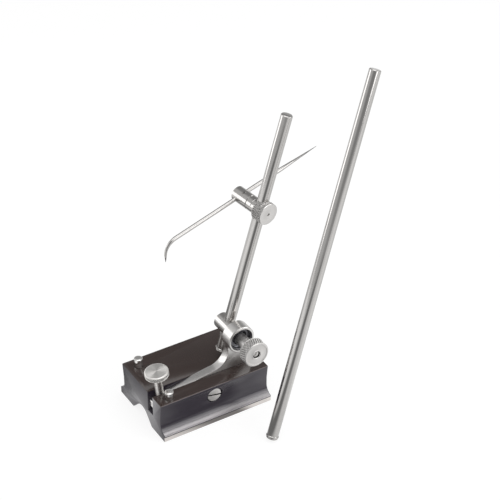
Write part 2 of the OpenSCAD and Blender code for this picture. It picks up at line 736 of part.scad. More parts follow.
// Pin that runs in the spigot's groove and keeps the holder on it
module holder_pin() {
  foot = spigot_r - bevel + run_gap;
  color(dark_glossy) at_scriber() translate([0, 0, scriber_back - holder_pin_back])
    rotate([-90, 0, 0]) translate([0, 0, foot])
      cylinder(h = barrel_r - holder_slot_d - foot, r = holder_pin_r);
}

// Scriber: a long needle point at one end and a short bent point at the other
module scriber() {
  color(polished) at_scriber() {
    rotate([0, 90, 0]) rotate_extrude()
      polygon([[0, -scriber_tail], [scriber_r, -scriber_tail], [scriber_r, scriber_point - taper_l],
               [tip_r, scriber_point], [0, scriber_point]]);
    translate([-scriber_tail, -bend_r, 0]) {
      rotate([0, 0, 90]) rotate_extrude(angle = bend_a, $fn = fine)
        translate([bend_r, 0]) circle(r = scriber_r);
      rotate([0, 0, 90 + bend_a]) translate([bend_r, -hook_root, 0]) rotate([-90, 0, 0])
        cylinder(h = hook_l + hook_root, r1 = scriber_r - hook_step, r2 = tip_r);
    }
  }
}

base();
rocking_bracket();
pivot_screw();
lifting_spring();
adjusting_screw();
thrust_ball();
gauge_pin_far();
gauge_pin_near();
bow_spring_far();
bow_spring_near();
swivel_sleeve();
swivel_bolt();
sleeve_key();
dished_washer();
clamp_knob();
spindle();
spindle_stop_ring();
spindle_eye();
clamp_saddle();
clamp_nut();
friction_collar();
thrust_pin();
scriber_holder();
holder_pin();
scriber();
spare_spindle();
spare_stop_ring();
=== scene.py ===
import json
import math

import bmesh
import bpy
import numpy as np
from mathutils import Matrix, Vector


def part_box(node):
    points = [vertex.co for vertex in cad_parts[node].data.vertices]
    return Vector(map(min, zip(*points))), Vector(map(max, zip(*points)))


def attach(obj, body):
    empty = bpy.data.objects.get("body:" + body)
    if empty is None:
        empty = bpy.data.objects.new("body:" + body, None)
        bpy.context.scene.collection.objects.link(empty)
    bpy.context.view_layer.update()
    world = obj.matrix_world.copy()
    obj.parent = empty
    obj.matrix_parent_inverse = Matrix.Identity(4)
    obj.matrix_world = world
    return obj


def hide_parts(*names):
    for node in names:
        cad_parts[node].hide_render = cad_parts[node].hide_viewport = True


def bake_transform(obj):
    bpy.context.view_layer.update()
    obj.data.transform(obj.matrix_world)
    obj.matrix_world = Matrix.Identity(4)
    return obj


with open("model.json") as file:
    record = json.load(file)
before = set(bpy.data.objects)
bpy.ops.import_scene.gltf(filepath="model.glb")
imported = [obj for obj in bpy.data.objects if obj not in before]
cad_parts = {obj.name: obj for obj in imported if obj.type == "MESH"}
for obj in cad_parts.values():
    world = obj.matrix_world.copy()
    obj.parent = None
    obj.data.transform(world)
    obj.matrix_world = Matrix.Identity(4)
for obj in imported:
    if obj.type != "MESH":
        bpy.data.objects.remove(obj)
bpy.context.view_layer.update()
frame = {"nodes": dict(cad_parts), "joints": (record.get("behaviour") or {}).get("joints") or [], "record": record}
mm = 0.001
joints = {joint["name"]: joint for joint in frame["joints"]}

# Studio: a white paper sheet under an overhead softbox, a softbox at the near right, and a card at
# the back left whose reflection runs along the turned pieces. The long lens looks down from the
# left of the near side.
camera_place = (-0.4936, -0.8898, 0.8429)
camera_pitch = math.radians(34.45)
camera_yaw = math.radians(31.53)

camera = bpy.data.objects.new("camera", bpy.data.cameras.new("camera"))
camera.data.lens = 115.2
camera.data.sensor_width = 36
camera.location = camera_place
camera.rotation_euler = (math.pi / 2 - camera_pitch, 0, -camera_yaw)
bpy.context.scene.collection.objects.link(camera)
bpy.context.scene.camera = camera
bpy.context.scene.view_settings.view_transform = "Standard"


class Value:
    """A socket of a node tree that takes part in expressions; each operator adds a Math node."""

    def __init__(self, graph, socket):
        self.graph, self.socket = graph, socket

    def math(self, operation, *others):
        return self.graph.node("ShaderNodeMath", {"operation": operation}, [self, *others])

    def __add__(self, other):
        return self.math("ADD", other)

    def __sub__(self, other):
        return self.math("SUBTRACT", other)

    def __rsub__(self, other):
        return self.graph.node("ShaderNodeMath", {"operation": "SUBTRACT"}, [other, self])

    def __mul__(self, other):
        return self.math("MULTIPLY", other)

    def __truediv__(self, other):
        return self.math("DIVIDE", other)

    __radd__ = __add__
    __rmul__ = __mul__

    def clamped(self, low, high):
        """0 below low, 1 above high, smooth in between."""
        settings = {"interpolation_type": "SMOOTHSTEP"}
        inputs = {"Value": self, "From Min": low, "From Max": high}
        return self.graph.node("ShaderNodeMapRange", settings, inputs)


class Graph:
    """Builds one node tree; every node comes from node()."""

    def __init__(self, tree):
        self.tree = tree
        tree.nodes.clear()

    def node(self, kind, settings=None, inputs=None, output=0):
        node = self.tree.nodes.new(kind)
        for name, value in (settings or {}).items():
            if name == "stops":
                for stop, (place, colour) in zip(node.color_ramp.elements, value):
                    stop.position, stop.color = place, colour
            else:
                setattr(node, name, value)
        pairs = enumerate(inputs) if isinstance(inputs, list) else (inputs or {}).items()
        for key, value in pairs:
            socket = node.inputs[key]
            if isinstance(value, Value):
                self.tree.links.new(value.socket, socket)
            else:
                socket.default_value = value
        return Value(self, node.outputs[output]) if len(node.outputs) else None

    def mix(self, factor, first, second):
        inputs = {0: factor, 6: first, 7: second}
        return self.node("ShaderNodeMix", {"data_type": "RGBA"}, inputs, output=2)

    def vector(self, operation, *vectors, output=0):
        return self.node("ShaderNodeVectorMath", {"operation": operation}, list(vectors), output)

    def noise(self, coordinates, scale, detail=3.0):
        inputs = {"Vector": coordinates, "Scale": scale, "Detail": detail}
        return self.node("ShaderNodeTexNoise", {}, inputs)


def grey(level):
    return (level, level, level, 1)


world = bpy.data.worlds.new("studio")
bpy.context.scene.world = world
world.use_nodes = True
sky = Graph(world.node_tree)
camera_ray = sky.node("ShaderNodeLightPath", output="Is Camera Ray")
seen = camera_ray.math("MAXIMUM", sky.node("ShaderNodeLightPath", output="Is Transmission Ray"))
glossy = sky.node("ShaderNodeLightPath", output="Is Glossy Ray")
direction = sky.node("ShaderNodeTexCoord", output="Generated")


def parts(graph, vector):
    return [graph.node("ShaderNodeSeparateXYZ", {}, [vector], output=axis) for axis in range(3)]


def lobe(bearing, elevation, near, far):
    """1 towards a direction seen from the gauge, 0 past far degrees; bearing runs from +Y to +X."""
    turn, rise = math.radians(bearing), math.radians(elevation)
    towards = (math.sin(turn) * math.cos(rise), math.cos(turn) * math.cos(rise), math.sin(rise))
    cosine = sky.vector("DOT_PRODUCT", direction, towards, output=1)
    return cosine.clamped(math.cos(math.radians(far)), math.cos(math.radians(near)))


far_side = lobe(31, 36, 14, 40)
camera_side = lobe(-150, 30, 12, 45)
tent = 0.56 - 0.30 * far_side - 0.28 * camera_side
tent_light = sky.node("ShaderNodeBackground", {}, {"Color": grey(1), "Strength": tent})
fill_light = sky.node("ShaderNodeBackground", {}, {"Color": grey(1), "Strength": 0.52})
white_light = sky.node("ShaderNodeBackground", {}, {"Color": grey(1), "Strength": 1.0})
ambient = sky.node("ShaderNodeMixShader", {}, [glossy, fill_light, tent_light])
backdrop = sky.node("ShaderNodeMixShader", {}, [seen, ambient, white_light])
sky.node("ShaderNodeOutputWorld", {}, {"Surface": backdrop})

lamps_aim = Vector((0.03, 0, 0.1))


def softbox(name, place, width, height, radiance):
    lamp = bpy.data.lights.new(name, "AREA")
    lamp.shape, lamp.size, lamp.size_y = "RECTANGLE", width, height
    lamp.energy = radiance * math.pi * width * height
    box = bpy.data.objects.new(name, lamp)
    box.location = place
    box.rotation_euler = (lamps_aim - Vector(place)).to_track_quat("-Z", "Y").to_euler()
    bpy.context.scene.collection.objects.link(box)


softbox("overhead_softbox", (0.05, -0.1, 1.2), 1.0, 1.0, 1.1)
softbox("back_left_card", (-0.74, 0.68, 0.36), 0.56, 0.60, 1.35)
softbox("near_right_softbox", (0.66, -0.86, 0.62), 1.4, 0.72, 1.6)

floor_half = 3
floor_below = 0.05 * mm
floor_signs = ((-1, -1), (1, -1), (1, 1), (-1, 1))
floor_corners = [(floor_half * x, floor_half * y, -floor_below) for x, y in floor_signs]
floor_mesh = bpy.data.meshes.new("floor")
floor_mesh.from_pydata(floor_corners, [], [(0, 1, 2, 3)])
floor = bpy.data.objects.new("floor", floor_mesh)
bpy.context.scene.collection.objects.link(floor)
floor_material = bpy.data.materials.new("white_sweep")
floor_material.use_nodes = True
sweep = Graph(floor_material.node_tree)
sweep_x, sweep_y = parts(sweep, sweep.node("ShaderNodeTexCoord", output="Object"))[:2]
gauge_x = 0.04
sweep_bearing = (sweep_x - gauge_x).math("ARCTAN2", sweep_y)


def sector(middle, half, edge):
    """1 in a sector of the sheet as seen from the gauge, fading out over edge degrees."""
    aside = (sweep_bearing - math.radians(middle)).math("WRAP", math.pi, -math.pi).math("ABSOLUTE")
    return 1 - aside.clamped(math.radians(half), math.radians(half + edge))


# Painted reflection: glossy rays see the floor glow in bright and dark sectors round the gauge, with painted shade
# on it close to the gauge; camera rays see it evenly pale and keep the shadow.
painted_shade_near = 1 - (sweep_x * sweep_x + sweep_y * sweep_y).math("SQRT").clamped(0.14, 0.30)
sheet = (0.78 + 0.26 * sector(-82, 14, 18) - 0.58 * sector(-143, 10, 22)
         + 0.16 * sector(145, 12, 14) - 0.55 * sector(-40, 26, 14) * painted_shade_near)
sweep_camera = sweep.node("ShaderNodeLightPath", output="Is Camera Ray")
sweep_glossy = sweep.node("ShaderNodeLightPath", output="Is Glossy Ray")
sweep_paper = sweep.node("ShaderNodeBsdfDiffuse", {}, {"Color": grey(0.8)})
sweep_tone = sweep.node("ShaderNodeBsdfDiffuse", {}, {"Color": grey(0.22)})
sweep_glow = sweep.node("ShaderNodeEmission", {}, {"Color": grey(1), "Strength": 0.84})
sweep_pale = sweep.node("ShaderNodeAddShader", {}, [sweep_tone, sweep_glow])
sweep_painted_reflection = sweep.node("ShaderNodeEmission", {}, {"Color": grey(1), "Strength": sheet})
sweep_lit = sweep.node("ShaderNodeMixShader", {}, [sweep_glossy, sweep_paper, sweep_painted_reflection])
sweep_seen = sweep.node("ShaderNodeMixShader", {}, [sweep_camera, sweep_lit, sweep_pale])
sweep.node("ShaderNodeOutputMaterial", {}, {"Surface": sweep_seen})
floor_mesh.materials.append(floor_material)

# Base: a block of steel, milled, ground and blackened all over, then ground bright again along its
# feet and sole. The slope above each foot is painted bright and metallic as a painted highlight band,
# brightest at its foot, and the top edges are worn bare and painted with a highlight line. It is one
# piece; the bracket's slot, the pin holes and the vee groove are cut in it.
base_low, base_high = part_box("base")
foot_strip_top, slope_top = 4.6 * mm, 10.5 * mm
top_half, slope_from, slope_full = 32.4 * mm, 30.6 * mm, 31.6 * mm


def material(name):
    made = bpy.data.materials.new(name)
    made.use_nodes = True
    return made, Graph(made.node_tree)


def surface(graph, **sockets):
    names = {"colour": "Base Color", "roughness": "Roughness", "metal": "Metallic",
             "normal": "Normal", "specular": "Specular IOR Level", "grain": "Anisotropic"}
    inputs = {names[key]: value for key, value in sockets.items()}
    shader = graph.node("ShaderNodeBsdfPrincipled", {}, inputs)
    graph.node("ShaderNodeOutputMaterial", {}, {"Surface": shader})


def local_coordinates(graph, place=None):
    """Object coordinates, moved and turned so that a piece's own axis is Z and its foot is zero."""
    coordinates = graph.node("ShaderNodeTexCoord", output="Object")
    if place is None:
        return coordinates
    inverse = place.inverted()
    settings = {"vector_type": "POINT"}
    return graph.node("ShaderNodeMapping", settings, {
        "Vector": coordinates, "Location": inverse.to_translation(),
        "Rotation": inverse.to_euler("XYZ")})


def bump(graph, height, distance):
    inputs = {"Height": height, "Distance": distance, "Strength": 1.0}
    return graph.node("ShaderNodeBump", {}, inputs)


rubbed_edge_highlight, slope_highlight_colour, ground_bright = (
    (0.34, 0.23, 0.22, 1), (0.62, 0.60, 0.61, 1), (0.86, 0.81, 0.78, 1))


def blackened_steel():
    """Blackening, with a painted reflection tint: browner on top, bluer on the sides. The long top
    edges are worn bare in part and painted with a highlight line, the foot strip and the sole are
    ground bright, and the slope above the strip is a painted highlight band, bright and metallic,
    brightest at its foot."""
    made, graph = material("blackened_steel")
    coordinates = local_coordinates(graph)
    x, y, z = parts(graph, coordinates)
    aside = y.math("ABSOLUTE")
    lengthwise = graph.vector("MULTIPLY", coordinates, (0.05, 1, 1))
    grind = graph.noise(lengthwise, 4200, 2)
    cloud = graph.noise(coordinates, 42, 3)
    top = z.clamped(base_high[2] - 0.7 * mm, base_high[2] - 0.2 * mm)
    # Painted reflection tint: the blackening is browner on top and bluer on the sides, standing for what each face
    # reflects; the cloud mixes in a random tone.
    side_colour = graph.mix(cloud, (0.031, 0.025, 0.037, 1), (0.040, 0.033, 0.046, 1))
    top_colour = graph.mix(cloud, (0.036, 0.022, 0.019, 1), (0.048, 0.031, 0.027, 1))
    black = graph.mix(top, side_colour, top_colour)
    foot = aside.clamped(base_high[1] - 0.9 * mm, base_high[1] - 0.1 * mm)
    strip = foot * (1 - z.clamped(foot_strip_top - 0.3 * mm, foot_strip_top))
    sole = 1 - z.clamped(0.02 * mm, 0.10 * mm)
    bright = strip.math("MAXIMUM", sole)
    # Painted highlight: a reddish bright line along the long top edges, partly bare wear, broken up by the cloud.
    rubbed_edge_highlight_mask = (z.clamped(base_high[2] - 0.5 * mm, base_high[2] - 0.2 * mm)
              * aside.clamped(top_half - 0.45 * mm, top_half - 0.1 * mm))
    black = graph.mix(rubbed_edge_highlight_mask * cloud.clamped(0.25, 0.6), black, rubbed_edge_highlight)
    # Painted highlight: the slope above each foot strip gets a bright metallic band that fades upwards, brightest
    # at its foot.
    slope_start = foot_strip_top + 0.5 * mm
    slope = 1 - z.clamped(slope_start, slope_top)
    outer = aside.clamped(slope_from, slope_full)
    past_low_end = (x - base_low[0]).clamped(0.3 * mm, 0.7 * mm)
    past_high_end = (base_high[0] - x).clamped(0.3 * mm, 0.7 * mm)
    above_strip = z.clamped(slope_start, foot_strip_top + 0.8 * mm)
    slope_highlight = slope * slope * outer * (past_low_end * past_high_end) * above_strip
    black = graph.mix(slope_highlight, black, slope_highlight_colour)
    colour = graph.mix(bright, black, ground_bright)
    roughness = 0.19 + 0.06 * (cloud - 0.5) + 0.06 * (grind - 0.5) + 0.18 * slope_highlight
    surface(graph, colour=colour, roughness=roughness, metal=bright.math("MAXIMUM", slope_highlight),
            specular=0.75, normal=bump(graph, grind, 0.001 * mm))
    return made


north = Vector((0, 1, 0))


def aim(origin, axis, side=north):
    """The matrix that puts a piece's own Z on axis, its foot at origin and its Y towards side."""
    z = Vector(axis).normalized()
    x = Vector(side).cross(z).normalized()
    turn = Matrix((x, z.cross(x), z)).transposed().to_4x4()
    return Matrix.Translation(origin) @ turn


def evaluated(piece):
    """A new plain mesh of a piece with its modifiers worked in."""
    bpy.context.view_layer.update()
    worked_in = piece.evaluated_get(bpy.context.evaluated_depsgraph_get())
    return bpy.data.meshes.new_from_object(worked_in)


round_slack, least_facing = 0.03 * mm, 0.9


def made_round(piece, place, radius, hollow=False):
    """Gives round faces at this radius about place's Z true normals, which long faces blur."""
    outwards = -1 if hollow else 1
    mesh = evaluated(piece)
    piece.modifiers.clear()
    piece.data = mesh
    inverse, turn = place.inverted(), place.to_3x3()
    normals = [Vector(corner.vector) for corner in mesh.corner_normals]
    for face in mesh.polygons:
        facing = inverse.to_3x3() @ face.normal
        for loop in face.loop_indices:
            at = inverse @ mesh.vertices[mesh.loops[loop].vertex_index].co
            out = Vector((at.x, at.y, 0))
            on_radius = abs(out.length - radius) < round_slack
            if on_radius and outwards * facing.dot(out.normalized()) > least_facing:
                normals[loop] = outwards * (turn @ out.normalized())
    mesh.normals_split_custom_set(normals)


def place_on_body(piece, node, body, made):
    """Finishes a piece that stands for a node: its material, and what the frame has to know."""
    piece.data.materials.clear()
    piece.data.materials.append(made)
    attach(piece, body)
    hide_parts(node)


same_point, same_plane = 0.002 * mm, math.radians(0.5)


def eased(node, width, angle=35, segments=2):
    """A copy of a solid with its sharp edges eased, as a maker breaks them; its place stays."""
    mesh = frame["nodes"][node].data.copy()
    mesh.name = node + "_eased"
    work = bmesh.new()
    work.from_mesh(mesh)
    bmesh.ops.remove_doubles(work, verts=work.verts, dist=same_point)
    bmesh.ops.dissolve_limit(work, angle_limit=same_plane, verts=work.verts, edges=work.edges)
    work.to_mesh(mesh)
    work.free()
    mesh.shade_smooth()
    piece = bpy.data.objects.new(node + "_finished", mesh)
    bpy.context.scene.collection.objects.link(piece)
    easing = piece.modifiers.new("eased_edges", "BEVEL")
    easing.width, easing.segments = width, segments
    easing.limit_method, easing.angle_limit = "ANGLE", math.radians(angle)
    easing.use_clamp_overlap = True
    easing.harden_normals = True
    return piece


base = eased("base", 0.3 * mm)
waist_w, cove_r, cove_z = 61.4 * mm, 8 * mm, 13.5 * mm
for side in (-1, 1):
    cove = aim((0, side * (waist_w / 2 + cove_r), cove_z), (1, 0, 0))
    made_round(base, cove, cove_r, hollow=True)
place_on_body(base, "base", "base", blackened_steel())

# Pivot screw: a slotted shoulder screw, turned and left bright, screwed in from the near side
# until its shoulder seats in the base; the bracket rocks on the shoulder.
plain_tint = (0.62, 0.605, 0.59)
painted_groove_shade = (0.03, 0.028, 0.026, 1)
mark_depth = 0.006 * mm
ring_scale, band_scale, cloud_scale = 5200, 700, 90


def steel(name, place, tint=plain_tint, roughness=0.2, marks=0.0, grain=0.0, painted_shade_at=None):
    """Bright steel. Marks are the rings that a lathe or a grinding wheel leaves round place's axis,
    grain is how far they draw the highlights out, and painted_shade_at tells from radius and
    height where painted shade darkens a slot or a knurl's grooves."""
    made, graph = material(name)
    coordinates = local_coordinates(graph, place)
    x, y, z = parts(graph, coordinates)
    radius = (x * x + y * y).math("SQRT")
    across = graph.node("ShaderNodeCombineXYZ", {}, [radius, 0.0, z])
    rings = graph.noise(across, ring_scale, 2)
    bands = graph.noise(across, band_scale, 2)
    cloud = graph.noise(coordinates, cloud_scale, 3)
    dull = tuple(0.97 * part for part in tint) + (1,)
    colour = graph.mix(bands.clamped(0.3, 0.7), tint + (1,), dull)
    # Painted shade: slots and knurl grooves are darkened in the colour.
    if painted_shade_at:
        colour = graph.mix(painted_shade_at(radius, z), colour, painted_groove_shade)
    rough = roughness + 0.04 * (cloud - 0.5) + 0.02 * (bands - 0.5)
    surface(graph, colour=colour, roughness=rough.math("MAXIMUM", 0.05), metal=1.0, grain=grain,
            normal=bump(graph, rings, marks * mark_depth))
    return made


def extent(node, place):
    """The lowest and the highest Z of a node in a piece's own frame, and its greatest radius."""
    vertices = frame["nodes"][node].data.vertices
    points = np.array([place.inverted() @ vertex.co for vertex in vertices])
    return points[:, 2].min(), points[:, 2].max(), np.hypot(points[:, 0], points[:, 1]).max()


straight_up = (0, 0, 1)
pivot = aim(joints["rock"]["pos_m"], (0, -1, 0), straight_up)
pivot_face = extent("pivot_screw", pivot)[1]


def in_slot(radius, z):
    """Where the screw's slot gets painted shade: below its face, at any radius."""
    return 1 - z.clamped(pivot_face - 0.45 * mm, pivot_face - 0.1 * mm)


pivot_screw = eased("pivot_screw", 0.15 * mm)
# The tint is raised near white: a painted highlight for the light that the satin face scatters.
pivot_steel = steel("pivot_screw_steel", pivot, (0.98, 0.96, 0.94), 0.48, 0.3, painted_shade_at=in_slot)
place_on_body(pivot_screw, "pivot_screw", "base", pivot_steel)

# Rocking bracket: one forging, milled to fit the slot and polished on the bright parts. Its tail
# lies in the slot, and the ring at its other end carries the swivel.
bracket = eased("rocking_bracket", 0.35 * mm, segments=3)
bracket_ring_r = 11.8 * mm
upright = Matrix.Identity(4)
swivel_place = aim(joints["spindle_swivel"]["pos_m"], joints["knob_turn"]["axis"], straight_up)
made_round(bracket, swivel_place, bracket_ring_r)
bracket_steel = steel("bracket_steel", upright, (0.80, 0.785, 0.77), 0.28)
place_on_body(bracket, "rocking_bracket", "rocking_bracket", bracket_steel)

# Lifting spring: music wire, wound cold and dropped in a pocket under the bracket, where it
# pushes the spindle's side up and so keeps the adjusting screw's ball on the slot's floor.
spring_low, spring_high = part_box("lifting_spring")
wire_r = 0.4 * mm
spring_tint = (0.30, 0.30, 0.32)


def geometry_tree(name, inputs):
    """A Geometry Nodes tree with named inputs; returns tree, graph and the inputs as values."""
    tree = bpy.data.node_groups.new(name, "GeometryNodeTree")
    graph = Graph(tree)
    tree.interface.new_socket("Geometry", in_out="INPUT", socket_type="NodeSocketGeometry")
    for label, kind in inputs.items():
        tree.interface.new_socket(label, in_out="INPUT", socket_type="NodeSocket" + kind)
    tree.interface.new_socket("Geometry", in_out="OUTPUT", socket_type="NodeSocketGeometry")
    entry = tree.nodes.new("NodeGroupInput")
    values = {socket.name: Value(graph, socket) for socket in entry.outputs if socket.name}
    return tree, graph, values


def finish_tree(graph, geometry, finish):
    """Every tree ends alike: instances made real, then the material."""
    real = graph.node("GeometryNodeRealizeInstances", {}, {"Geometry": geometry})
    painted = graph.node("GeometryNodeSetMaterial", {}, {"Geometry": real, "Material": finish})
    graph.node("NodeGroupOutput", {}, {"Geometry": painted})


def through_tree(name, mesh, tree, settings):
    """Runs a tree on a mesh and returns the result as a plain mesh in a new object."""
    holder = bpy.data.objects.new(name + "_rough", mesh)
    bpy.context.scene.collection.objects.link(holder)
    modifier = holder.modifiers.new(tree.name, "NODES")
    modifier.node_group = tree
    for item in tree.interface.items_tree:
        if item.item_type == "SOCKET" and item.in_out == "INPUT" and item.name in settings:
            modifier[item.identifier] = settings[item.name]
    result = evaluated(holder)
    bpy.data.objects.remove(holder)
    piece = bpy.data.objects.new(name, result)
    bpy.context.scene.collection.objects.link(piece)
    return piece


coil_tree, coil, coil_in = geometry_tree("wound_spring", {
    "Turns": "Float", "Radius": "Float", "Height": "Float", "Wire": "Float",
    "Material": "Material"})
coil_path = coil.node("GeometryNodeCurveSpiral", {}, {
    "Resolution": 40, "Rotations": coil_in["Turns"], "Start Radius": coil_in["Radius"],
    "End Radius": coil_in["Radius"], "Height": coil_in["Height"]})
coil_wire = coil.node("GeometryNodeCurvePrimitiveCircle", {}, {
    "Resolution": 14, "Radius": coil_in["Wire"]})
coil_tube = coil.node("GeometryNodeCurveToMesh", {}, {
    "Curve": coil_path, "Profile Curve": coil_wire, "Fill Caps": True})
coil_smooth = coil.node("GeometryNodeSetShadeSmooth", {}, {"Geometry": coil_tube})
finish_tree(coil, coil_smooth, coil_in["Material"])

spring_steel = steel("spring_wire", upright, tint=spring_tint, roughness=0.3)
spring = through_tree("lifting_spring_wound", bpy.data.meshes.new("spring_seed"), coil_tree, {
    "Turns": 8.0, "Radius": (spring_high[0] - spring_low[0]) / 2 - wire_r,
    "Height": spring_high[2] - spring_low[2] - 2 * wire_r, "Wire": wire_r,
    "Material": spring_steel})
spring_x, spring_y = (spring_low[0] + spring_high[0]) / 2, (spring_low[1] + spring_high[1]) / 2
spring_foot = Vector((spring_x, spring_y, spring_low[2] + wire_r))
spring.data.transform(Matrix.Translation(spring_foot))
spring.data.materials.clear()
spring.data.materials.append(spring_steel)
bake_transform(spring)
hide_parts("lifting_spring")

# Adjusting screw: turned from bar, with a diamond knurl rolled on the rim of its head and a fine
# thread that runs in the bracket's tail. A hard ball is staked in its tip and bears on the slot.
screw_joint = joints["screw_turn"]
screw_place = aim(screw_joint["pos_m"], -Vector(screw_joint["axis"]))
head_r, head_t = 9.7 * mm, 4.5 * mm
head_edge, head_drop, head_back = 1.0 * mm, 0.6 * mm, 0.5 * mm
screw_neck_r, screw_neck_l = 3.6 * mm, 0.8 * mm
screw_shank_r, screw_thread_r, screw_thread_l = 3.2 * mm, 2.65 * mm, 13.2 * mm
screw_tip_edge, ball_seat_r, ball_seat_l = 0.35 * mm, 1.85 * mm, 1.5 * mm

knurl_tree, knurl, knurl_in = geometry_tree("rolled_knurl", {
    "Depth": "Float", "Starts": "Float", "Rise": "Float", "Material": "Material"})
knurl_x, knurl_y, knurl_z = parts(knurl, knurl.node("GeometryNodeInputPosition"))
knurl_turn = knurl_y.math("ARCTAN2", knurl_x) * knurl_in["Starts"] / math.tau


def ridge(lead):
    """0 in a groove's bottom, 1 on the ridge between two grooves."""
    return 1 - (2 * (knurl_turn + lead).math("FRACT") - 1).math("ABSOLUTE")


right_hand = ridge(knurl_z / knurl_in["Rise"])
left_hand = ridge(0 - knurl_z / knurl_in["Rise"])
knurl_mask = knurl.node("GeometryNodeInputNamedAttribute", {"data_type": "FLOAT"}, {
    "Name": "knurl"})
sunk = (right_hand.math("MINIMUM", left_hand) - 1) * knurl_in["Depth"] * knurl_mask
from_axis = knurl.node("ShaderNodeCombineXYZ", {}, [knurl_x, knurl_y, 0.0])
outwards = knurl.vector("NORMALIZE", from_axis)
sink = knurl.node("ShaderNodeVectorMath", {"operation": "SCALE"}, {
    "Vector": outwards, "Scale": sunk})
knurled = knurl.node("GeometryNodeSetPosition", {}, {
    "Geometry": knurl_in["Geometry"], "Offset": sink})
finish_tree(knurl, knurled, knurl_in["Material"])


def softened(outline, radius, closed):
    """The outline with three points round each corner; a knurled stretch is cut in short steps."""
    count = len(outline)
    soft = []
    for index, (r, z, mask, step) in enumerate(outline):
        here = np.array([r, z])
        before, after = outline[index - 1], outline[(index + 1) % count]
        ends = not closed and index in (0, count - 1)
        to_before, to_after = np.array(before[:2]) - here, np.array(after[:2]) - here
        reach = min(radius, np.linalg.norm(to_before) / 3, np.linalg.norm(to_after) / 3)
        if ends or reach == 0:
            soft.append((r, z, mask))
        else:
            start = here + to_before / np.linalg.norm(to_before) * reach
            end = here + to_after / np.linalg.norm(to_after) * reach
            for share in (0, 0.5, 1):
                point = (1 - share) ** 2 * start + 2 * share * (1 - share) * here + share ** 2 * end
                soft.append((point[0], point[1], mask))
        if step and (closed or index < count - 1):
            pieces = max(1, int(np.linalg.norm(to_after) / step))
            for k in range(1, pieces):
                point = here + to_after * k / pieces
                soft.append((point[0], point[1], 1.0))
    return soft


on_axis = 1e-9
facets_per_start = 8


def closed_mesh(name, work):
    """Turns a bmesh into a mesh whose faces all look outwards."""
    bmesh.ops.recalc_face_normals(work, faces=work.faces)
    mesh = bpy.data.meshes.new(name)
    work.to_mesh(mesh)
    work.free()
    return mesh


def turned(name, place, outline, made, knurling=None, segments=96, ease=0.15 * mm, closed=False):
    """A piece turned round its own Z. Outline points are (radius, z), or (radius, z, step) where a
    knurled stretch begins, and a closed outline goes round a bore."""
    rows = [(point[0], point[1], 0.0, point[2] if len(point) > 2 else 0) for point in outline]
    rows = softened(rows, ease, closed)
    work = bmesh.new()
    layer = work.verts.layers.float.new("knurl")
    turns = [math.tau * k / segments for k in range(segments)]
    rings = []
    for r, z, mask in rows:
        spots = [(0, 0)] if r < on_axis else [(r * math.cos(a), r * math.sin(a)) for a in turns]
        ring = [work.verts.new((x, y, z)) for x, y in spots]
        for vertex in ring:
            vertex[layer] = mask
        rings.append(ring)
    pairs = list(zip(rings, rings[1:])) + ([(rings[-1], rings[0])] if closed else [])
    for lower, upper in pairs:
        for k in range(segments):
            corners = [lower[k % len(lower)], lower[(k + 1) % len(lower)],
                       upper[(k + 1) % len(upper)], upper[k % len(upper)]]
            corners = list(dict.fromkeys(corners))
            if len(corners) > 2:
                work.faces.new(corners)
    mesh = closed_mesh(name, work)
    mesh.shade_smooth()
    settings = {"Depth": 0.0, "Starts": 1.0, "Rise": mm, **(knurling or {}), "Material": made}
    piece = through_tree(name, mesh, knurl_tree, settings)
    piece.data.transform(place)
    return piece


def diamonds(radius, pitch, depth):
    """A knurl's settings: how deep it is, how many starts go round and how far a groove rises."""
    return {"Depth": depth, "Starts": float(round(math.tau * radius / pitch)), "Rise": pitch}


def in_grooves(rim, depth, low, high):
    """Where a knurl's grooves get painted shade: below the rim, and between two heights."""
    def share(radius, z):
        sunken = 1 - radius.clamped(rim - depth, rim - 0.45 * depth)
        return sunken * z.clamped(low, low + 0.15 * mm) * (1 - z.clamped(high - 0.15 * mm, high))
    return share


screw_low, screw_high = extent("adjusting_screw", screw_place)[:2]
screw_pitch, screw_groove, screw_step = 1.6 * mm, 0.55 * mm, 0.14 * mm
screw_knurl = diamonds(head_r, screw_pitch, screw_groove)
head_low = screw_high - head_t
screw_dark = in_grooves(head_r, screw_groove, head_low + head_back, screw_high - head_back)
screw_steel = steel("adjusting_screw_steel", screw_place, (0.94, 0.92, 0.89), 0.40, 1.6, grain=0.85,
                    painted_shade_at=screw_dark)
screw = turned("adjusting_screw_knurled", screw_place, [
    (0, screw_high), (head_r - head_edge, screw_high),
    (head_r, screw_high - head_drop, screw_step), (head_r, head_low + head_back),
    (head_r - head_back, head_low), (screw_neck_r, head_low),
    (screw_neck_r, head_low - screw_neck_l),
    (screw_shank_r, head_low - screw_neck_l), (screw_shank_r, screw_low + screw_thread_l),
    (screw_thread_r, screw_low + screw_thread_l), (screw_thread_r, screw_low + screw_tip_edge),
    (screw_thread_r - screw_tip_edge, screw_low), (ball_seat_r, screw_low),
    (ball_seat_r, ball_seat_l + screw_low), (0, ball_seat_l + 0.1 * mm + screw_low)],
    screw_steel, screw_knurl, segments=int(screw_knurl["Starts"]) * facets_per_start)
place_on_body(screw, "adjusting_screw", "adjusting_screw", screw_steel)

ball_steel = steel("ball_steel", screw_place, roughness=0.08)
frame["nodes"]["thrust_ball"].data.materials[0] = ball_steel

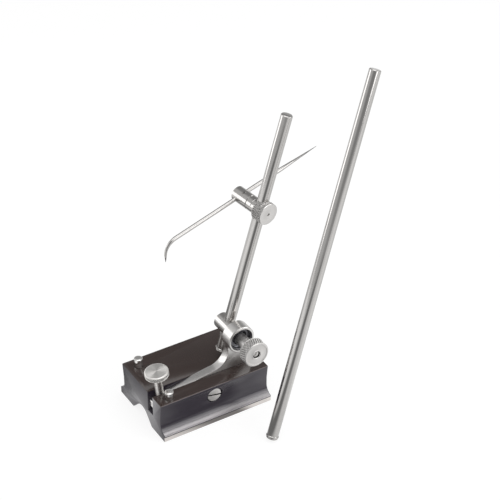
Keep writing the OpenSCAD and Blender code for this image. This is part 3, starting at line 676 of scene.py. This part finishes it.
# Gauge pins: hardened and ground, domed on top, pushed down through the base to guide it along an
# edge. A flat bow spring in a slot of each pin holds it wherever it is left.
bow_steel = steel("bow_spring_steel", upright, tint=spring_tint, roughness=0.3)
for side in ("far", "near"):
    pin_node = "gauge_pin_" + side
    pin_low, pin_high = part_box(pin_node)
    pin_middle = ((pin_low[0] + pin_high[0]) / 2, (pin_low[1] + pin_high[1]) / 2, 0)
    pin_place = aim(pin_middle, straight_up)
    pin = eased(pin_node, 0.2 * mm, angle=25)
    made_round(pin, pin_place, extent(pin_node, pin_place)[2])
    pin_steel = steel("gauge_pin_steel_" + side, pin_place, (0.90, 0.885, 0.87), 0.22, 0.5,
                      grain=0.5)
    place_on_body(pin, pin_node, pin_node, pin_steel)
    frame["nodes"]["bow_spring_" + side].data.materials[0] = bow_steel

# Swivel: a bolt with a cross hole sits inside a sleeve with the same hole. The knob draws the bolt
# through the bracket's ring and so clamps the spindle in both. A key pin keeps the holes in line.
sleeve = eased("swivel_sleeve", 0.25 * mm)
made_round(sleeve, swivel_place, extent("swivel_sleeve", swivel_place)[2])
sleeve_steel = steel("sleeve_steel", swivel_place, roughness=0.16, marks=0.5)
place_on_body(sleeve, "swivel_sleeve", "swivel", sleeve_steel)
bolt = eased("swivel_bolt", 0.3 * mm)
bolt_steel = steel("bolt_steel", swivel_place, roughness=0.2, marks=0.8)
place_on_body(bolt, "swivel_bolt", "swivel", bolt_steel)
dark_steel = steel("black_glossy_steel", swivel_place, tint=(0.12, 0.12, 0.13), roughness=0.10)
# The key pin is black glossy steel, a dark piece standing for the painted shade of the sleeve's hole.
frame["nodes"]["sleeve_key"].data.materials[0] = dark_steel
washer = eased("dished_washer", 0.15 * mm)
place_on_body(washer, "dished_washer", "swivel", dark_steel)

# Clamp knob: turned from bar with a smooth neck and a diamond knurl, its front faced with a
# raised rim; it screws on the swivel bolt's stem.
knob_low, knob_high = extent("clamp_knob", swivel_place)[:2]
neck_r, knob_r, knob_t, knob_bore_r = 5.1 * mm, 11 * mm, 9 * mm, 3.05 * mm
neck_edge, knob_edge, knob_drop, knob_mouth = 0.3 * mm, 0.7 * mm, 0.6 * mm, 0.5 * mm
neck_end, face_sunk = knob_high - knob_t, knob_high - 0.35 * mm
knob_pitch, knob_groove, knob_step = 2.0 * mm, 0.75 * mm, 0.16 * mm
knob_dark = in_grooves(knob_r, knob_groove, neck_end, knob_high - knob_mouth)
knob_steel = steel("clamp_knob_steel", swivel_place, (0.82, 0.805, 0.79), 0.42, 1.2,
                   painted_shade_at=knob_dark)
knob_knurl = diamonds(knob_r, knob_pitch, knob_groove)
knob = turned("clamp_knob_knurled", swivel_place, [
    (knob_bore_r, knob_low), (neck_r - neck_edge, knob_low), (neck_r, knob_low + neck_edge),
    (neck_r, neck_end), (knob_r - knob_edge, neck_end),
    (knob_r, neck_end + knob_drop, knob_step), (knob_r, knob_high - knob_drop),
    (knob_r - knob_edge, knob_high), (0.86 * knob_r, knob_high), (0.84 * knob_r, face_sunk),
    (0.38 * knob_r, face_sunk), (0.36 * knob_r, knob_high),
    (knob_bore_r + knob_mouth, knob_high), (knob_bore_r, knob_high - knob_mouth)],
    knob_steel, knob_knurl, segments=int(knob_knurl["Starts"]) * facets_per_start, closed=True)
place_on_body(knob, "clamp_knob", "clamp_knob", knob_steel)

# Spindles: centreless-ground rods with a groove near the low end, where a ring is sprung in to stop
# the rod from being drawn out. The longer one is a spare, which stands beside the gauge.
spindle_axis = joints["spindle_turn"]["axis"]
spindle_place = aim(joints["spindle_turn"]["pos_m"], spindle_axis)
spare_mount = next(mount for mount in frame["record"]["mounts"] if mount["name"] == "spare_spindle")
spare_place = aim(spare_mount["pos_m"], spare_mount["axis"])
rods = [("spindle", "spindle_stop_ring", spindle_place, "spindle"),
        ("spare_spindle", "spare_stop_ring", spare_place, "base")]
groove_start, groove_end, groove_depth = 1.6 * mm, 3.1 * mm, 0.55 * mm
rod_edge = 0.6 * mm
for rod_node, ring_node, rod_place, rod_body in rods:
    rod_low, rod_high, rod_r = extent(rod_node, rod_place)
    rod_steel = steel(rod_node + "_steel", rod_place, roughness=0.13, marks=0.1)
    rod = turned(rod_node + "_ground", rod_place, [
        (0, rod_low), (rod_r - rod_edge, rod_low), (rod_r, rod_low + rod_edge),
        (rod_r, rod_low + groove_start), (rod_r - groove_depth, rod_low + groove_start),
        (rod_r - groove_depth, rod_low + groove_end), (rod_r, rod_low + groove_end),
        (rod_r, rod_high - rod_edge), (rod_r - rod_edge, rod_high), (0, rod_high)],
        rod_steel, segments=128, ease=0.1 * mm)
    place_on_body(rod, rod_node, rod_body, rod_steel)
    frame["nodes"][ring_node].data.materials[0] = rod_steel

# Scriber clamp: an eye on the spindle, a saddle that straddles it, a friction collar and the
# scriber's holder on one spigot. The knurled nut presses saddle, spindle, thrust pin and scriber
# together, so one turn locks them all.
clamp_joint = joints["nut_turn"]
clamp_place = aim(clamp_joint["pos_m"], clamp_joint["axis"], straight_up)
for clamp_node, clamp_slot, clamp_body, clamp_roughness in (
        ("spindle_eye", "turned_steel", "scriber_clamp", 0.17),
        ("friction_collar", "polished_steel", "scriber_clamp", 0.15),
        ("scriber_holder", "turned_steel", "scriber_holder", 0.17)):
    clamp_piece = eased(clamp_node, 0.2 * mm)
    made_round(clamp_piece, clamp_place, extent(clamp_node, clamp_place)[2])
    clamp_steel = steel(clamp_node + "_steel", clamp_place, roughness=clamp_roughness, marks=0.7)
    place_on_body(clamp_piece, clamp_node, clamp_body, clamp_steel)
frame["nodes"]["thrust_pin"].data.materials[0] = spring_steel
frame["nodes"]["holder_pin"].data.materials[0] = dark_steel

drum_place = aim(clamp_joint["pos_m"], clamp_joint["axis"], spindle_axis)
drum_low, drum_high, drum_r = extent("clamp_saddle", drum_place)
drum_bore_r, drum_edge, drum_lip = 6.45 * mm, 1.6 * mm, 0.2 * mm
clamp_pitch, clamp_groove, clamp_step = 1.7 * mm, 0.6 * mm, 0.15 * mm
drum_dark = in_grooves(drum_r, clamp_groove, drum_low + drum_edge, drum_high - 0.1 * mm)
drum_steel = steel("clamp_saddle_steel", drum_place, (0.70, 0.685, 0.67), 0.24, 0.8,
                   painted_shade_at=drum_dark)
drum_knurl = diamonds(drum_r, clamp_pitch, clamp_groove)
drum = turned("clamp_saddle_knurled", drum_place, [
    (drum_bore_r, drum_low), (drum_r - drum_edge, drum_low),
    (drum_r, drum_low + drum_edge, clamp_step), (drum_r, drum_high - drum_lip),
    (drum_r - drum_lip, drum_high), (drum_bore_r, drum_high)],
    drum_steel, drum_knurl, segments=int(drum_knurl["Starts"]) * facets_per_start, closed=True)


def cut_away(piece, outline, place, reach):
    """Cuts a prism out of a piece; its outline lies across place's Y, and it reaches both ways."""
    work = bmesh.new()
    ends = [[work.verts.new(place @ Vector((x, y, z))) for x, z in outline]
            for y in (-reach, reach)]
    for end in ends:
        work.faces.new(end)
    for k in range(len(outline)):
        following = (k + 1) % len(outline)
        work.faces.new([ends[0][k], ends[0][following], ends[1][following], ends[1][k]])
    cutter = bpy.data.objects.new("cutter", closed_mesh("cutter", work))
    bpy.context.scene.collection.objects.link(cutter)
    cut = piece.modifiers.new("way", "BOOLEAN")
    cut.operation, cut.solver, cut.object = "DIFFERENCE", "EXACT", cutter
    result = evaluated(piece)
    piece.modifiers.clear()
    piece.data = result
    bpy.data.objects.remove(cutter)


way_gap = 0.1 * mm
way_r = rod_r + way_gap
way_steps = 24
way_arc = [math.pi * k / way_steps for k in range(way_steps + 1)]
way = [(way_r * math.cos(a), way_r * math.sin(a)) for a in way_arc]
way += [(-way_r, -2 * drum_r), (way_r, -2 * drum_r)]
cut_away(drum, way, drum_place, 2 * drum_r)
place_on_body(drum, "clamp_saddle", "scriber_clamp", drum_steel)

nut_low, nut_high = extent("clamp_nut", clamp_place)[:2]
nut_r, stud_bore_r, nut_hole_r = 9.2 * mm, 2.95 * mm, 1.2 * mm
nut_edge, nut_drop = 0.6 * mm, 0.5 * mm
nut_dark = in_grooves(nut_r, clamp_groove, nut_low + 0.4 * mm, nut_high - 0.4 * mm)
nut_steel = steel("clamp_nut_steel", clamp_place, (0.74, 0.725, 0.71), 0.28, 0.8, painted_shade_at=nut_dark)
nut_knurl = diamonds(nut_r, clamp_pitch, clamp_groove)
nut = turned("clamp_nut_knurled", clamp_place, [
    (stud_bore_r, nut_low), (nut_r - nut_edge, nut_low), (nut_r, nut_low + nut_drop, clamp_step),
    (nut_r, nut_high - nut_drop), (nut_r - nut_edge, nut_high), (nut_hole_r, nut_high),
    (nut_hole_r, nut_high - nut_edge), (stud_bore_r, nut_high - nut_edge)],
    nut_steel, nut_knurl, segments=int(nut_knurl["Starts"]) * facets_per_start, closed=True)
place_on_body(nut, "clamp_nut", "clamp_nut", nut_steel)

# Scriber: hardened tool steel wire, ground to a long needle point at one end and bent and drawn
# down to a short point at the other; it slides in its holder.
scriber_axis = Vector(joints["scriber_slide"]["axis"])
holder_axis = Vector(clamp_joint["axis"])
scriber_back = 24.1 * mm
scriber_middle = Vector(clamp_joint["pos_m"]) - scriber_back * holder_axis
scriber_place = aim(scriber_middle, scriber_axis, -holder_axis)
scriber_steel = steel("scriber_steel", scriber_place, roughness=0.24)
scriber_axes = Matrix((scriber_axis, holder_axis.cross(scriber_axis), holder_axis))
scriber_frame = Matrix.Translation(scriber_middle) @ scriber_axes.transposed().to_4x4()
scriber_r, drawn_r, tip_r = 1.7 * mm, 1.05 * mm, 0.15 * mm
point_l, taper_l, tail_l, hook_l = 80.7 * mm, 38.7 * mm, 66.6 * mm, 6.8 * mm
bend_r, bend_a, bend_steps = 12 * mm, math.radians(80), 18
path = [(point_l, 0, tip_r), (point_l - taper_l, 0, scriber_r), (0, 0, scriber_r),
        (-tail_l, 0, scriber_r)]
for step in range(1, bend_steps + 1):
    turn = bend_a * step / bend_steps
    bend_point_r = scriber_r + (drawn_r - scriber_r) * step / bend_steps
    path.append((-tail_l - bend_r * math.sin(turn), -bend_r * (1 - math.cos(turn)), bend_point_r))
hook_x, hook_y = hook_l * math.cos(bend_a), hook_l * math.sin(bend_a)
path.append((path[-1][0] - hook_x, path[-1][1] - hook_y, tip_r))


def drawn_wire(name, points, sides=40):
    """A round bar along a flat path; its points are (along, across, radius)."""
    work = bmesh.new()
    places = [Vector((x, y, 0)) for x, y, r in points]
    turns = [math.tau * k / sides for k in range(sides)]
    upwards = Vector(straight_up)
    rings = []
    for index, (x, y, r) in enumerate(points):
        ahead = (places[min(index + 1, len(places) - 1)] - places[max(index - 1, 0)]).normalized()
        side = Vector((-ahead.y, ahead.x, 0))
        spots = [places[index] + r * (math.cos(a) * side + math.sin(a) * upwards) for a in turns]
        rings.append([work.verts.new(spot) for spot in spots])
    for lower, upper in zip(rings, rings[1:]):
        for k in range(sides):
            work.faces.new([lower[k], lower[(k + 1) % sides], upper[(k + 1) % sides], upper[k]])
    work.faces.new(rings[0])
    work.faces.new(rings[-1])
    mesh = closed_mesh(name, work)
    mesh.shade_smooth()
    piece = bpy.data.objects.new(name, mesh)
    bpy.context.scene.collection.objects.link(piece)
    return piece


scriber = drawn_wire("scriber_drawn", path)
scriber.data.transform(scriber_frame)
place_on_body(scriber, "scriber", "scriber", scriber_steel)
